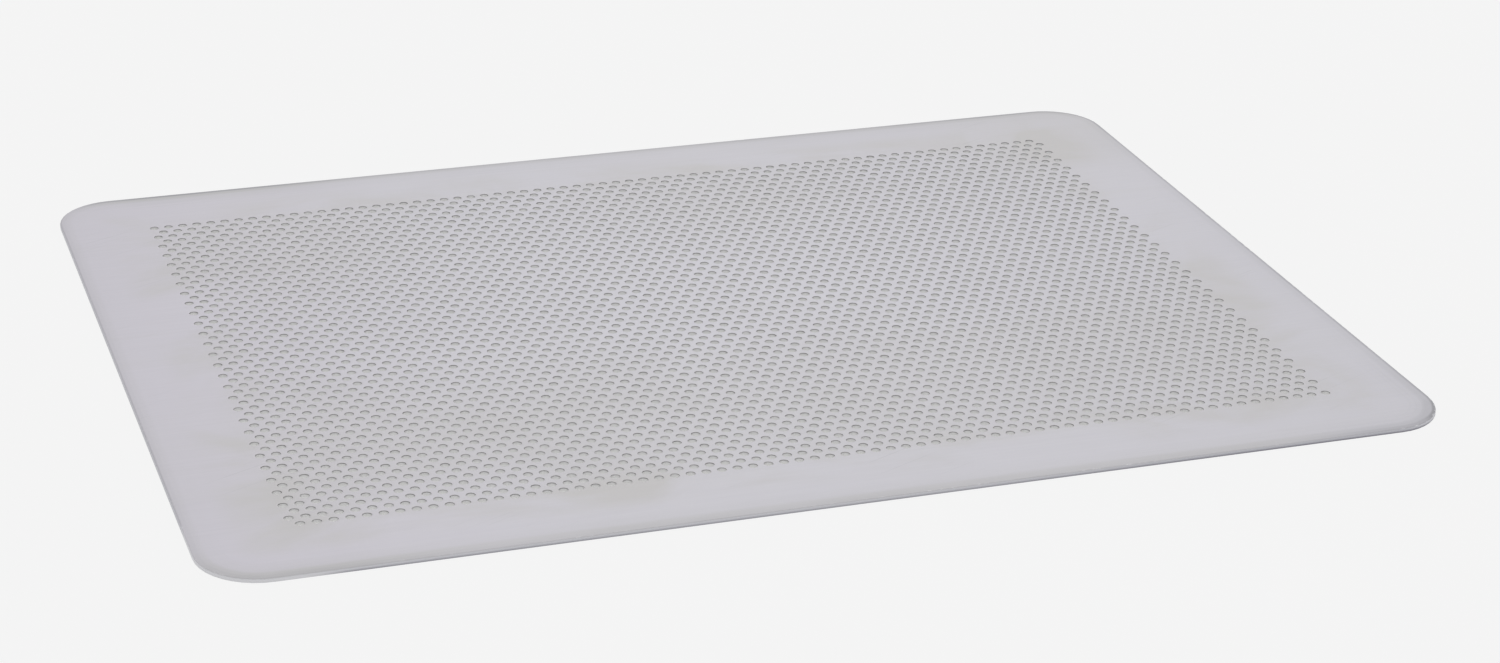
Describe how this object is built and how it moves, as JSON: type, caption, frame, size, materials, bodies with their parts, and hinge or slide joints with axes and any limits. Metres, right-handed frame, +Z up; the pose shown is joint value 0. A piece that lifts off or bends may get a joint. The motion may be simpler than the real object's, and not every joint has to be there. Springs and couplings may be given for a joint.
{
  "type": "perforated baking sheet",
  "caption": "Flat rimless rectangular baking sheet with rounded corners and a staggered field of small round holes inside a plain border.",
  "frame": {"origin": "middle of the underside, which is the face the sheet rests on", "axes": "+X along the long side, +Y along the short side, +Z up out of the baking side"},
  "size_m": [0.4, 0.3, 0.0015],
  "materials": {
    "aluminium": "satin mill finish, faint rolling lines, lightly burnished edge"
  },
  "bodies": {
    "root": {"perforated_sheet": "aluminium"}
  },
  "joints": []
}
